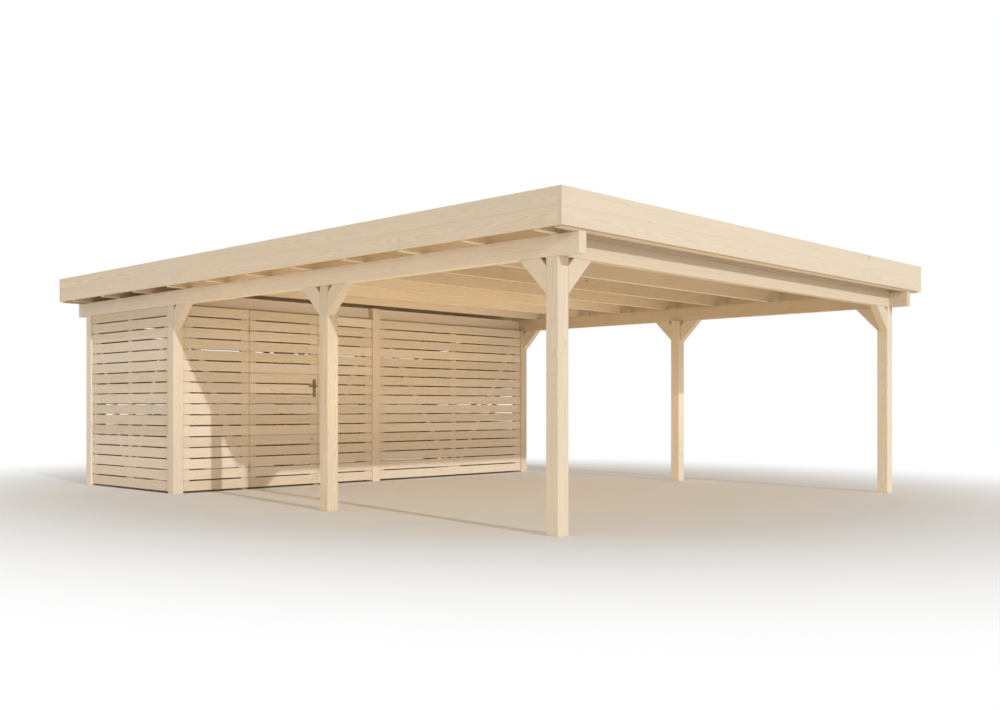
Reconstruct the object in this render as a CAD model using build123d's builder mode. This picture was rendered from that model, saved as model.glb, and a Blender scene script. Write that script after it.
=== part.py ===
from build123d import *
import math
import os

os.makedirs("parts", exist_ok=True)

# Flat-roofed double carport of squared timber with a slatted store room across its rear.
# The entrance faces -Y, +X is to the right of someone driving in, and the origin lies on
# the ground under the middle of the roof. All sizes are in millimetres.

# Plan, over the outer faces of the posts
width = 5670.0
front_bay = 2750.0
middle_bay = 2740.0
store_depth = 2080.0

# Posts, beams and knee braces
post = 120.0
post_height = 2050.0
post_arris = 4.0
beam_depth = 160.0
beam_thickness = 80.0
beam_arris = 3.0
overhang = 200.0
brace_length = 270.0
brace_depth = 145.0

# Roof
rafter_thickness = 60.0
rafter_depth = 200.0
rafter_bays = 10
deck_thickness = 20.0
covering_thickness = 4.0
upstand_height = 41.0
upstand_joint = 1.0
fascia_thickness = 28.0
fascia_board = 136.5
fascia_seam = 2.0
fascia_lift = 14.0

# Slatted walls of the store room
board_width = 107.5
board_gap = 13.0
board_thickness = 14.0
board_foot = 23.0
batten_width = 95.0
batten_depth = 46.0
diagonal_width = 70.0
wall_setback = 20.0
wall_lap = 8.5
store_beam_depth = 150.0

# Door, in the middle of the left half of the store's front
doorway_width = 966.0
door_gap = 5.0
door_stile_depth = 41.0
door_ledge_rows = (4, 10)
jamb_width = 75.0
jamb_stop = 15.0

# Butt hinges
hinge_heights = (246.0, 1830.0)
hinge_length = 100.0
hinge_leaf = 30.0
hinge_plate = 2.0
knuckle_radius = 6.0
knuckle_stand_off = 1.0
knuckle_end_gap = 0.5
pin_radius = 3.0
running_clearance = 0.05

# Lever handle and key cylinder
lever_height = 1195.0
lever_backset = 48.0
lever_length = 120.0
lever_grip_height = 20.0
lever_grip_thickness = 11.0
lever_clearance = 42.0
lever_arris = 3.0
neck_radius = 9.0
spindle_radius = 6.0
spindle_hole_radius = 11.0
plate_width = 42.0
plate_height = 215.0
plate_thickness = 3.0
plate_drop = 22.0
plate_corner = 8.0
cylinder_drop = 92.0
cylinder_radius = 8.5
cylinder_proud = 4.0
seat_clearance = 0.3

# Stations worked out from the sizes above
half_width = width / 2
length = front_bay + middle_bay + store_depth
front = -length / 2
rear = length / 2
mid_row = front + front_bay
store_row = mid_row + middle_bay
rear_row = rear - post
side_line = half_width - post / 2
purlin_line = half_width - beam_thickness / 2
purlin_top = post_height + beam_depth
rafter_top = purlin_top + rafter_depth
deck_top = rafter_top + deck_thickness
roof_half_width = half_width + overhang
roof_half_length = length / 2 + overhang
inner_half_width = half_width - post
purlin_gap = width - 2 * beam_thickness
store_beam_top = post_height + store_beam_depth
board_pitch = board_width + board_gap
panel_depth = board_thickness + batten_depth
store_beam_thickness = post - wall_setback - panel_depth
wall_top = post_height + wall_lap
front_wall_face = store_row + wall_setback
rear_wall_face = rear - wall_setback

half_bay = inner_half_width - post / 2
fixed_panel = (half_bay - doorway_width) / 2
doorway_left = -inner_half_width + fixed_panel
doorway_right = doorway_left + doorway_width
door_width = doorway_width - 2 * door_gap
door_left = doorway_left + door_gap
door_back = front_wall_face + board_thickness + door_stile_depth


def export(builder, node):
    """Label the finished piece and write it to its own file."""
    builder.part.label = node
    export_step(builder.part, f"parts/{node}.step")


def side_post(x, row):
    """A square post under a purlin, with its arrises taken off."""
    with BuildPart() as timber:
        with BuildSketch(Plane.XY):
            with Locations((x, row + post / 2)):
                Rectangle(post, post)
        extrude(amount=post_height)
        chamfer(timber.edges().filter_by(Axis.Z), post_arris)
    return timber


def middle_post(row, beam_line):
    """A post in the middle of a store wall, housed at its head for the wall's beam."""
    with BuildPart() as timber:
        with BuildSketch(Plane.XY):
            with Locations((0, row + post / 2)):
                Rectangle(post, post)
        extrude(amount=store_beam_top)
        chamfer(timber.edges().filter_by(Axis.Z), post_arris)
        with BuildSketch(Plane.XY.offset(post_height)):
            with Locations((0, beam_line)):
                Rectangle(post, store_beam_thickness)
        extrude(amount=store_beam_depth, mode=Mode.SUBTRACT)
    return timber


def purlin(x):
    """The beam along one side, on the heads of the four side posts."""
    with BuildPart() as timber:
        with BuildSketch(Plane.XY.offset(post_height)):
            with Locations((x, 0)):
                Rectangle(beam_thickness, 2 * roof_half_length)
        extrude(amount=beam_depth)
        chamfer(timber.edges().filter_by(Axis.Y), beam_arris)
    return timber


def cross_beam(y, thickness, depth):
    """A level beam between the two purlins, centred on y."""
    with BuildPart() as timber:
        with BuildSketch(Plane.XY.offset(post_height)):
            with Locations((0, y)):
                Rectangle(purlin_gap, thickness)
        extrude(amount=depth)
        chamfer(timber.edges().filter_by(Axis.X), beam_arris)
    return timber


def brace_profile(direction):
    """Outline of a knee brace at 45 degrees, in the corner of a post and a beam."""
    inner = brace_length - brace_depth * math.sqrt(2)
    return [
        (0, -brace_length),
        (direction * brace_length, 0),
        (direction * inner, 0),
        (0, -inner),
    ]


def side_braces(x):
    """Knee braces along one side: each stands in the corner of a post and the purlin."""
    corners = [
        (front + post, 1),
        (mid_row, -1),
        (mid_row + post, 1),
        (store_row, -1),
    ]
    with BuildPart() as timber:
        for y, direction in corners:
            corner = Plane(
                origin=(x + beam_thickness / 2, y, post_height), x_dir=(0, 1, 0), z_dir=(1, 0, 0)
            )
            with BuildSketch(corner):
                with BuildLine():
                    Polyline(*brace_profile(direction), close=True)
                make_face()
            extrude(amount=-beam_thickness)
    return timber


def slatted_panel(face, span, top, battens, depth):
    """Level boards with open gaps, nailed to upright battens behind them."""
    rows = int((top - board_foot - board_gap) // board_pitch) + 1
    with BuildPart() as panel:
        with BuildSketch(face):
            for row in range(rows):
                low = board_foot + row * board_pitch
                high = min(low + board_width, top)
                with Locations((span / 2, (low + high) / 2)):
                    Rectangle(span, high - low)
        extrude(amount=-board_thickness)
        with BuildSketch(face.offset(-board_thickness)):
            with Locations([(x, (board_foot + top) / 2) for x in battens]):
                Rectangle(batten_width, top - board_foot)
        extrude(amount=-depth)
    return panel


def diagonal_outline(head, foot, top):
    """Outline of a diagonal from its middle at the top edge to its middle at the foot."""
    drop = top - board_foot
    half = diagonal_width * math.hypot(foot - head, drop) / drop / 2
    return [
        (head - half, top),
        (head + half, top),
        (foot + half, board_foot),
        (foot - half, board_foot),
    ]


def braced_panel(face, span, top, battens, diagonals):
    """A slatted wall panel with diagonals between its battens, cut off at its edges."""
    boards = slatted_panel(face, span, top, battens, batten_depth)
    with BuildPart() as panel:
        add(boards.part)
        with BuildSketch(face.offset(-board_thickness)):
            for head, foot in diagonals:
                with BuildLine():
                    Polyline(*diagonal_outline(head, foot, top), close=True)
                make_face()
            with Locations((span / 2, (board_foot + top) / 2)):
                Rectangle(span, top - board_foot, mode=Mode.INTERSECT)
        extrude(amount=-batten_depth)
    return panel


def end_battens(span):
    """Places of the battens at both ends of a panel."""
    return [batten_width / 2, span - batten_width / 2]


def bay_panel(face, span, top):
    """A panel over a whole bay: a third batten in its middle, and diagonals down to it."""
    middle = span / 2
    battens = end_battens(span) + [middle]
    return braced_panel(face, span, top, battens, [(0, middle), (span, middle)])


def fascia_boards(low_x, high_x, low_y, high_y):
    """Two boards on edge, one over the other, with a thin seam between them."""
    with BuildPart() as boards:
        for row in range(2):
            level = purlin_top + fascia_lift + row * (fascia_board + fascia_seam)
            with BuildSketch(Plane.XY.offset(level)):
                with Locations(((low_x + high_x) / 2, (low_y + high_y) / 2)):
                    Rectangle(high_x - low_x, high_y - low_y)
            extrude(amount=fascia_board)
    return boards


# Posts: four pairs along the sides, and one in the middle of each long store wall
for name, row in (
    ("front", front),
    ("mid", mid_row),
    ("store", store_row),
    ("rear", rear_row),
):
    export(side_post(-side_line, row), f"{name}_left_post")
    export(side_post(side_line, row), f"{name}_right_post")

store_beam_line = store_row + post - store_beam_thickness / 2
rear_beam_line = rear_row + store_beam_thickness / 2
export(middle_post(store_row, store_beam_line), "store_middle_post")
export(middle_post(rear_row, rear_beam_line), "rear_middle_post")

# Beams
export(purlin(-purlin_line), "left_purlin")
export(purlin(purlin_line), "right_purlin")
export(cross_beam(front + beam_thickness / 2, beam_thickness, beam_depth), "front_beam")
export(cross_beam(store_beam_line, store_beam_thickness, store_beam_depth), "store_beam")
export(cross_beam(rear_beam_line, store_beam_thickness, store_beam_depth), "rear_beam")

# Knee braces along the sides, and a pair under the front beam
export(side_braces(-purlin_line), "left_braces")
export(side_braces(purlin_line), "right_braces")

with BuildPart() as front_braces:
    for x, direction in ((-inner_half_width, 1), (inner_half_width, -1)):
        corner = Plane(origin=(x, front, post_height), x_dir=(1, 0, 0), z_dir=(0, -1, 0))
        with BuildSketch(corner):
            with BuildLine():
                Polyline(*brace_profile(direction), close=True)
            make_face()
        extrude(amount=-beam_thickness)
export(front_braces, "front_braces")

# Rafters across the purlins, from over the front posts to over the rear posts
rafter_spacing = (length - post) / rafter_bays
rafter_lines = [
    front + rafter_thickness / 2 + rafter_spacing * bay for bay in range(rafter_bays + 1)
]
with BuildPart() as rafters:
    with BuildSketch(Plane.XY.offset(purlin_top)):
        with Locations([(0, y) for y in rafter_lines]):
            Rectangle(2 * roof_half_width, rafter_thickness)
    extrude(amount=rafter_depth)
export(rafters, "rafters")

# Rim rafters on the ends of the purlins, which carry the fascia at the front and rear
rim_line = roof_half_length - rafter_thickness / 2
with BuildPart() as rim_rafters:
    with BuildSketch(Plane.XY.offset(purlin_top)):
        with Locations((0, -rim_line), (0, rim_line)):
            Rectangle(2 * roof_half_width, rafter_thickness)
    extrude(amount=rafter_depth)
export(rim_rafters, "rim_rafters")

# Roof boards on the rafters
with BuildPart() as roof_deck:
    with BuildSketch(Plane.XY.offset(rafter_top)):
        Rectangle(2 * roof_half_width, 2 * roof_half_length)
    extrude(amount=deck_thickness)
export(roof_deck, "roof_deck")

# Roof covering: a flat sheet on the roof boards
with BuildPart() as roof_covering:
    with BuildSketch(Plane.XY.offset(deck_top)):
        Rectangle(2 * roof_half_width, 2 * roof_half_length)
    extrude(amount=covering_thickness)
export(roof_covering, "roof_covering")

# Upstand strips along its edges, behind the fascia, the side ones between the others
upstand_x = roof_half_width - covering_thickness / 2
upstand_y = roof_half_length - covering_thickness / 2
side_upstand = 2 * (roof_half_length - covering_thickness - upstand_joint)
with BuildPart() as covering_upstands:
    with BuildSketch(Plane.XY.offset(deck_top + covering_thickness)):
        with Locations((0, -upstand_y), (0, upstand_y)):
            Rectangle(2 * roof_half_width, covering_thickness)
        with Locations((-upstand_x, 0), (upstand_x, 0)):
            Rectangle(covering_thickness, side_upstand)
    extrude(amount=upstand_height)
export(covering_upstands, "covering_upstands")

# Fascia: the front and rear boards cover the ends of the side boards
fascia_half_width = roof_half_width + fascia_thickness
fascia_half_length = roof_half_length + fascia_thickness
export(
    fascia_boards(-fascia_half_width, fascia_half_width, -fascia_half_length, -roof_half_length),
    "front_fascia",
)
export(
    fascia_boards(-fascia_half_width, fascia_half_width, roof_half_length, fascia_half_length),
    "rear_fascia",
)
export(
    fascia_boards(-fascia_half_width, -roof_half_width, -roof_half_length, roof_half_length),
    "left_fascia",
)
export(
    fascia_boards(roof_half_width, fascia_half_width, -roof_half_length, roof_half_length),
    "right_fascia",
)

# Front wall of the store: a fixed panel on each side of the doorway, with its diagonal
# falling towards the door, and one right bay
for node, start, head, foot in (
    ("store_panel_left", -inner_half_width, 0, fixed_panel),
    ("store_panel_middle", doorway_right, fixed_panel, 0),
):
    face = Plane(origin=(start, front_wall_face, 0), x_dir=(1, 0, 0), z_dir=(0, -1, 0))
    battens = end_battens(fixed_panel)
    export(braced_panel(face, fixed_panel, wall_top, battens, [(head, foot)]), node)

face = Plane(origin=(post / 2, front_wall_face, 0), x_dir=(1, 0, 0), z_dir=(0, -1, 0))
export(bay_panel(face, half_bay, wall_top), "store_panel_right")

# Rear wall of the store, two bays
for node, start in (("rear_panel_left", -post / 2), ("rear_panel_right", inner_half_width)):
    face = Plane(origin=(start, rear_wall_face, 0), x_dir=(-1, 0, 0), z_dir=(0, 1, 0))
    export(bay_panel(face, half_bay, wall_top), node)

# Side walls of the store, between the posts and up to the purlins
side_span = rear_row - store_row - post
side_wall_face = half_width - wall_setback
face = Plane(origin=(-side_wall_face, rear_row, 0), x_dir=(0, -1, 0), z_dir=(-1, 0, 0))
export(bay_panel(face, side_span, post_height), "left_wall_panel")
face = Plane(origin=(side_wall_face, store_row + post, 0), x_dir=(0, 1, 0), z_dir=(1, 0, 0))
export(bay_panel(face, side_span, post_height), "right_wall_panel")

# Door jambs behind the edges of the doorway, which the door closes against
jamb_depth = store_beam_thickness
jamb_line = store_row + post - jamb_depth / 2
jamb_reach = jamb_width / 2 - jamb_stop
with BuildPart() as door_jambs:
    with BuildSketch(Plane.XY):
        with Locations(
            (doorway_left - jamb_reach, jamb_line), (doorway_right + jamb_reach, jamb_line)
        ):
            Rectangle(jamb_width, jamb_depth)
    extrude(amount=post_height)
export(door_jambs, "door_jambs")

# Door leaf: boards in line with the wall's, on a stile at each edge and two ledges, each
# of which covers a gap between the boards
lever_x = door_left + door_width - lever_backset
cylinder_height = lever_height - cylinder_drop
leaf_face = Plane(origin=(door_left, front_wall_face, 0), x_dir=(1, 0, 0), z_dir=(0, -1, 0))
leaf_boards = slatted_panel(
    leaf_face, door_width, wall_top, end_battens(door_width), door_stile_depth
)
leaf_depth = door_back - front_wall_face
lowest_gap = board_foot + board_width + board_gap / 2
with BuildPart() as door_leaf:
    add(leaf_boards.part)
    with BuildSketch(leaf_face.offset(-board_thickness)):
        for row in door_ledge_rows:
            with Locations((door_width / 2, lowest_gap + row * board_pitch)):
                Rectangle(door_width - 2 * batten_width, batten_width)
    extrude(amount=-door_stile_depth)
    with BuildSketch(leaf_face):
        with Locations((lever_x - door_left, lever_height)):
            Circle(spindle_hole_radius)
        with Locations((lever_x - door_left, cylinder_height)):
            Circle(cylinder_radius + seat_clearance)
    extrude(amount=-leaf_depth, mode=Mode.SUBTRACT)
export(door_leaf, "door_leaf")

# Hinges: the pin line stands just in front of the wall, over the gap beside the door
hinge_x = doorway_left + door_gap / 2
hinge_y = front_wall_face - knuckle_radius - knuckle_stand_off
plate_reach = front_wall_face - hinge_y
third = hinge_length / 3


def hinge_half(side, knuckles, bored):
    """A plate on one edge of the gap, with its knuckles round the pin line."""
    offset = side * (door_gap - hinge_plate) / 2
    with BuildPart() as half:
        for height in hinge_heights:
            foot = height - hinge_length / 2
            with BuildSketch(Plane.XY.offset(foot)):
                with Locations((hinge_x + offset, hinge_y + plate_reach + hinge_leaf / 2)):
                    Rectangle(hinge_plate, hinge_leaf)
            extrude(amount=hinge_length)
            for low, high in knuckles:
                with BuildSketch(Plane.XY.offset(foot + low)):
                    with Locations((hinge_x, hinge_y)):
                        Circle(knuckle_radius)
                    with Locations((hinge_x + offset, hinge_y + plate_reach / 2)):
                        Rectangle(hinge_plate, plate_reach)
                    if bored:
                        with Locations((hinge_x, hinge_y)):
                            Circle(pin_radius + running_clearance, mode=Mode.SUBTRACT)
                extrude(amount=high - low)
            if not bored:
                with BuildSketch(Plane.XY.offset(foot)):
                    with Locations((hinge_x, hinge_y)):
                        Circle(pin_radius)
                extrude(amount=hinge_length)
    return half


frame_knuckles = [(0, third - knuckle_end_gap), (2 * third + knuckle_end_gap, hinge_length)]
export(hinge_half(-1, frame_knuckles, False), "frame_hinges")
export(hinge_half(1, [(third, 2 * third)], True), "door_hinges")

# Handle plates on both faces of the door, with running holes for the lever's neck
plate_middle = lever_height - plate_drop


def handle_plate(face_y, outward):
    """A long plate with round corners, a hole for the neck and one for the cylinder."""
    seat = Plane(origin=(lever_x, face_y, plate_middle), x_dir=(1, 0, 0), z_dir=(0, -1, 0))
    with BuildPart() as plate:
        with BuildSketch(seat):
            RectangleRounded(plate_width, plate_height, plate_corner)
            with Locations((0, lever_height - plate_middle)):
                Circle(neck_radius + running_clearance, mode=Mode.SUBTRACT)
            with Locations((0, cylinder_height - plate_middle)):
                Circle(cylinder_radius + seat_clearance, mode=Mode.SUBTRACT)
        extrude(amount=outward * plate_thickness)
    return plate


export(handle_plate(front_wall_face, 1), "outer_handle_plate")
export(handle_plate(door_back, -1), "inner_handle_plate")

# Key cylinder through the door, a little proud of both plates
cylinder_reach = plate_thickness + cylinder_proud
cylinder_face = Plane(
    origin=(lever_x, front_wall_face - cylinder_reach, cylinder_height),
    x_dir=(1, 0, 0),
    z_dir=(0, -1, 0),
)
with BuildPart() as key_cylinder:
    with BuildSketch(cylinder_face):
        Circle(cylinder_radius)
    extrude(amount=-(leaf_depth + 2 * cylinder_reach))
export(key_cylinder, "key_cylinder")

# Lever: a spindle with a thicker neck on each side of the door, and a grip on each neck
neck_length = plate_thickness + lever_clearance
outer_grip_face = front_wall_face - neck_length
inner_grip_face = door_back + neck_length
with BuildPart() as lever_spindle:
    with BuildSketch(
        Plane(origin=(lever_x, outer_grip_face, lever_height), x_dir=(1, 0, 0), z_dir=(0, 1, 0))
    ):
        Circle(neck_radius)
    extrude(amount=neck_length)
    with BuildSketch(
        Plane(origin=(lever_x, front_wall_face, lever_height), x_dir=(1, 0, 0), z_dir=(0, 1, 0))
    ):
        Circle(spindle_radius)
    extrude(amount=leaf_depth)
    with BuildSketch(
        Plane(origin=(lever_x, door_back, lever_height), x_dir=(1, 0, 0), z_dir=(0, 1, 0))
    ):
        Circle(neck_radius)
    extrude(amount=neck_length)
export(lever_spindle, "lever_spindle")

grip_middle = lever_x - lever_length / 2 + lever_grip_height / 2


def lever_grip(face_y, outward):
    """A level bar with round ends, from over the neck towards the hinges."""
    seat = Plane(origin=(grip_middle, face_y, lever_height), x_dir=(1, 0, 0), z_dir=(0, -1, 0))
    with BuildPart() as grip:
        with BuildSketch(seat):
            SlotOverall(lever_length, lever_grip_height)
        extrude(amount=outward * lever_grip_thickness)
        free_face = grip.faces().sort_by(Axis.Y)[0 if outward > 0 else -1]
        chamfer(free_face.edges(), lever_arris)
    return grip


export(lever_grip(outer_grip_face, 1), "outer_grip")
export(lever_grip(inner_grip_face, -1), "inner_grip")
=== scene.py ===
import bmesh
import bpy
import math
import numpy as np
from mathutils import Euler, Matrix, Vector


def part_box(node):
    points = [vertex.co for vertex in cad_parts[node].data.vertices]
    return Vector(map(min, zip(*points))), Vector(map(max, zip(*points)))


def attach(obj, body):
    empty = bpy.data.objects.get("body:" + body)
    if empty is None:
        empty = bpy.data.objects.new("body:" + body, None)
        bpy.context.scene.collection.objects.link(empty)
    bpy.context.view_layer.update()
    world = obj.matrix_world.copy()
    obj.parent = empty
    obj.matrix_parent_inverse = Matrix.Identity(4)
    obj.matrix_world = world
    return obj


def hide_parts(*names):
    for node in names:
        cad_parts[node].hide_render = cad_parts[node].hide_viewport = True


# A timber carport with a slatted store room across its rear. Everything is in metres, in
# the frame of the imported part: -Y out of the entrance, +X to the right, +Z up.

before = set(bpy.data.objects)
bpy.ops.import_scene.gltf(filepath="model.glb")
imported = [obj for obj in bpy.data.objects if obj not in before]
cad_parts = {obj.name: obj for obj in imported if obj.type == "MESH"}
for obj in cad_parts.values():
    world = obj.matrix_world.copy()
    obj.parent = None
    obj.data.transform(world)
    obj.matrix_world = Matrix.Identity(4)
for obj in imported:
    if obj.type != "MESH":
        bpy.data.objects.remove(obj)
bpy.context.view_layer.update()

# Boards of the walls and the door
BOARD_WIDTH = 0.1075
BOARD_GAP = 0.013
BOARD_THICKNESS = 0.014
BOARD_ARRIS = 0.0038
BOARD_SLIP = 0.0006
BATTEN_WIDTH = 0.095
DIAGONAL_WIDTH = 0.070
DIAGONAL_RELIEF = 0.0010
LEDGE_ROWS = (4, 10)
REAR_BOARD_DROP = 0.0035

# Roof timbers. In a row of the deck, the first joint lies on one of three rafters, and the
# second so many rafters on, the last number not included.
RAFTER_COUNT = 11
RAFTER_THICKNESS = 0.060
RAFTER_ARRIS = 0.003
FASCIA_SEAM = 0.0003
FASCIA_ARRIS = 0.0009
FASCIA_VARIETY = 0.08
DECK_BOARD = 0.1214
DECK_ARRIS = 0.0025
FIRST_JOINT_ON = (2, 3, 4)
SECOND_JOINT_AFTER = (3, 5)
CUT_EDGE = 0.0008

# Roofing sheets, laid across the roof and turned up at its edges. A lap climbs to its
# full height over its step, falls to its foot, a share of it, over its slope, and is flat
# again by the next lap.
SHEET_WIDTH = 0.92
SHEET_LAP = 0.0014
SHEET_THICKNESS = 0.004
SHEET_COVE = 0.018
LAP_STEP = 0.0015
LAP_SLOPE = 0.08
LAP_FOOT = 0.1
EDGE_STRIP = 0.2
STRIPS_ACROSS = 9
COVE_STEPS = 7

# Squared timbers and fittings of the frame: radii of their arrises, degrees from which an
# edge is sharp, radians within which faces are one flat, and decimals to which two points
# are the same
POST_ARRIS = 0.003
BRACE_ARRIS = 0.003
PLATE_ARRIS = 0.0009
FITTING_ARRIS = 0.0004
SHARP_ARRIS = 30
FLAT_WITHIN = 0.002
SAME_PLACE_DIGITS = 6

# Screws in the boards and the handle plates. The profile of a head is shares of its
# radius and heights over the board, from the middle outwards.
SCREW_RADIUS = 0.0036
SCREW_SIDES = 8
SCREW_RINGS = (0.36, 0.44, 0.92, 1.0)
SCREW_HEIGHTS = (-0.0005, 0.00012, 0.00012, -0.0004)
SCREW_SPREAD = 0.030
SCREW_SLIP = 0.0012
PLATE_SCREW_INSET = 0.011

# Lever grips, key cylinder and its slot, which is painted shade: a dark slab sunk in the
# plug, where the hole would lie in shade. The profile of the cylinder is shares of its
# radius and depths below its face, from the middle outwards. Edges under SMOOTH_BELOW
# degrees are shaded smoothly.
GRIP_RINGS = 41
GRIP_SIDES = 28
GRIP_POWER = 2.8
TIP_SHARE = 0.9999
CYLINDER_SIDES = 32
CYLINDER_RINGS = (0.02, 0.60, 0.62, 0.67, 0.69, 0.91, 0.98, 1.0)
CYLINDER_DEPTHS = (0.0001, 0.0001, 0.0006, 0.0006, 0.0, 0.0, 0.0002, 0.0007)
SMOOTH_BELOW = 40
KEY_SLOT_HALF = (0.0007, 0.0006, 0.0036)
KEY_SLOT_SUNK = 0.00065

# Seeds of the random draws. Those of a wall's battens, diagonals, ledges and slips are
# added to the wall's own.
WALL_SEED = 100
DOOR_SEED = 900
BATTEN_SEED = 1
DIAGONAL_SEED = 2
LEDGE_SEED = 9
SLIP_SEED = 50
RAFTER_SEED = 1001
RIM_RAFTER_SEED = 1002
DECK_SEED = 1003
DECK_JOINT_SEED = 77
FASCIA_SEED = 1054

# Figure of the timber: its place in the log, the year rings, the knots, the noises in
# cycles per metre along and across the fibres, and the sawn ends. A pair is the ends of a
# draw or of a smooth step, apart from PITH_PLACE, which is a place across the timber, and
# RING_DEPTH, by which the slow noise is multiplied and then moved.
LOG_LENGTH = 40
LOG_STEP = 3.7
BRACE_LOG_STEP = 1.9
PITH_PLACE = (0.012, 0.018)
PITH_ACROSS = (-0.5, 0.5)
PITH_AWAY = (0.35, 1.0)
PITH_WANDER = 0.07
RING_WIDTH = 0.0046
RING_BULGE = 0.012
LATE_RISE = (0.35, 0.90)
LATE_FALL = (1.0, 0.93)
RING_DEPTH = (1.1, -0.12)
STREAK_EDGE = (0.45, 0.85)
KNOTS_ALONG = 3.4
KNOTS_ACROSS = 5.5
WIDE_KNOTS = 1.2
KNOTLESS = 0.76
KNOT_HALO = 0.26
KNOT_EDGE = (0.075, 0.05)
WANDER_CYCLES = (0.7, 5.0, 5.0)
STREAK_CYCLES = (1.1, 46.0, 46.0)
TONE_CYCLES = (0.45, 6.0, 6.0)
FIBRE_CYCLES = (22.0, 900.0, 900.0)
NOISE_MIDDLE = (0.5, 0.5, 0.5)
FIBRE_SHARE = 0.5
END_FACING = (0.85, 0.95)

# Tone of a timber: steps of a sine from one to the next, and the most that a random one
# may lie from the middle, in standard deviations
TIMBER_TONE_STEP = 2.4
BRACE_TONE_STEP = 1.7
WIDEST_TONE = 2.4

# Colours of the timber, as linear values, and how far each covers what lies under it
EARLY_WOOD = (0.80, 0.675, 0.525)
LATE_WOOD = (0.69, 0.510, 0.325)
KNOT = (0.38, 0.215, 0.105)
SAWN_END = (0.70, 0.560, 0.405)
STREAK_COVER = 0.42
HALO_COVER = 0.35
KNOT_COVER = 0.6
SAWN_COVER = 0.55
TONE_LEVEL = 0.075
TONE_DEPTH = 0.10
SLOW_LEVEL = 0.12

# Surface of the timber and of the roofing sheets
WOOD_ROUGHNESS = 0.66
LATE_GLOSS = 0.10
STREAK_DULL = 0.10
WOOD_SHINE = 0.35
WOOD_BUMP = 0.35
WOOD_RELIEF = 0.0004
SHEET_ROUGHNESS = 0.66
SHEET_SHINE = 0.3
SHEET_BUMP = 0.5
SHEET_RELIEF = 0.0008

# Tones of the roofing sheets: the dark one, the pale one and the dust, whose colour also
# paints a highlight along every lap, how the tone swings from sheet to sheet, and where the
# grit, the dust and the painted highlight lie and how far they cover
SHEET_COLOURS = ((0.030, 0.032, 0.033), (0.062, 0.064, 0.065), (0.115, 0.108, 0.096))
SHEET_TONE_STEP = 2.7
SHEET_TONE_SWING = 0.22
SHEET_TONE_MIDDLE = 0.35
SHEET_GRIT_CYCLES = (260.0, 260.0, 260.0)
SHEET_GRIT_EDGE = (0.35, 0.75)
SHEET_GRIT_COVER = 0.5
DUST_CYCLES = (2.4, 2.4, 2.4)
DUST_EDGE = (0.48, 0.75)
# The band along each lap, in the dust's colour, is a painted highlight on the lap's edge
LAP_HIGHLIGHT_EDGE = (0.05, 0.0)
DUST_IN_CLOUDS = 0.55
LAP_HIGHLIGHT_SHARE = 0.5
DUST_AND_HIGHLIGHT_COVER = 0.6

# Metals: two colours, roughness, and the size of the patches. The grit is so many times
# finer than a patch, and the relief so many times lower than a patch is wide.
ZINC = ((0.50, 0.48, 0.44), (0.40, 0.39, 0.36), 0.44, 0.006)
BRONZE = ((0.27, 0.205, 0.145), (0.22, 0.165, 0.115), 0.38, 0.004)
# The key slot's two colours are painted shade, not a metal: the dark inside of its hole
KEY_SLOT_SHADE = ((0.012, 0.012, 0.012), (0.03, 0.028, 0.026), 0.6, 0.004)
PATCH_EDGE = (0.3, 0.7)
GRIT_FINER = 12
GRIT_DULL = 0.14
METAL_BUMP = 0.3
METAL_FLATNESS = 60

# Light: strengths, colours, and the way that the sun shines, with its width in degrees.
# The front light grows between the two values of LOW_DOWN as a direction's z falls, and of
# IN_FRONT as its x and y do, weighted by FRONT_WAY.
ALL_ROUND_LIGHT = 0.52
FRONT_LIGHT = 1.2
SOFT_LIGHT = (1.0, 0.98, 0.92)
SUN = 1.46
SUN_COLOUR = (0.885, 0.945, 1.0)
SUN_TOWARD = (0.178, 1.0, -0.338)
SUN_ANGLE = 0.6
FRONT_WAY = (0.96, 0.25)
IN_FRONT = (0.4, -0.8)
LOW_DOWN = (0.45, 0.0)
BOUNCE_COLOUR = (1.0, 0.83, 0.40)
INWARD_COLOUR = (1.0, 0.88, 0.68)
WHITE = (1.0, 1.0, 1.0)

# Light that the floor throws back: strength, colour, width, length, place, direction and
# spread in degrees. UP is a hair off the upright, so that a sheet's length lies along Y.
UP = (0, 0.001, 1)
BOUNCED_LIGHTS = {
    "bounce up": (34.0, BOUNCE_COLOUR, 6.2, 6.4, (0, -1.9, 0.02), UP, 115),
    "bounce to eaves": (8.5, BOUNCE_COLOUR, 1.0, 5.6, (-3.4, -1.1, 0.02), UP, 75),
    "bounce inward": (9.5, INWARD_COLOUR, 5.0, 0.5, (0, -3.4, 0.3), (0, 0.934, 0.358), 46),
}

# Floor: its colour and surface, and the oval round the object past which it fades to white
FLOOR = (0.86, 0.83, 0.80)
FLOOR_ROUGHNESS = 0.9
FLOOR_SHINE = 0.1
FLOOR_REACH = 60.0
FLOOR_OVAL = (4.6, 5.6)
FLOOR_FADE = (0.75, 1.7)

# Camera: place, heading in degrees, film width and lens in millimetres, rise of the lens
# as a share of that width, and how far it sees
EYE = (-8.755, -8.885, 0.946)
HEADING = 46.15
FILM = 36.0
LENS = 38.59
RISE = 0.052
SIGHT = 200.0


# Materials


def put(tree, kind, inputs=None, **settings):
    """Add a node. `inputs` fills its sockets by name or number, with a value or a link."""
    node = tree.nodes.new(kind)
    for key, value in settings.items():
        setattr(node, key, value)
    for key, value in (inputs or {}).items():
        if isinstance(value, bpy.types.NodeSocket):
            tree.links.new(value, node.inputs[key])
        else:
            node.inputs[key].default_value = value
    return node


def reckon(tree, operation, *values):
    """One sum on numbers, such as MULTIPLY; returns its result."""
    return put(tree, "ShaderNodeMath", dict(enumerate(values)), operation=operation).outputs[0]


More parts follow.
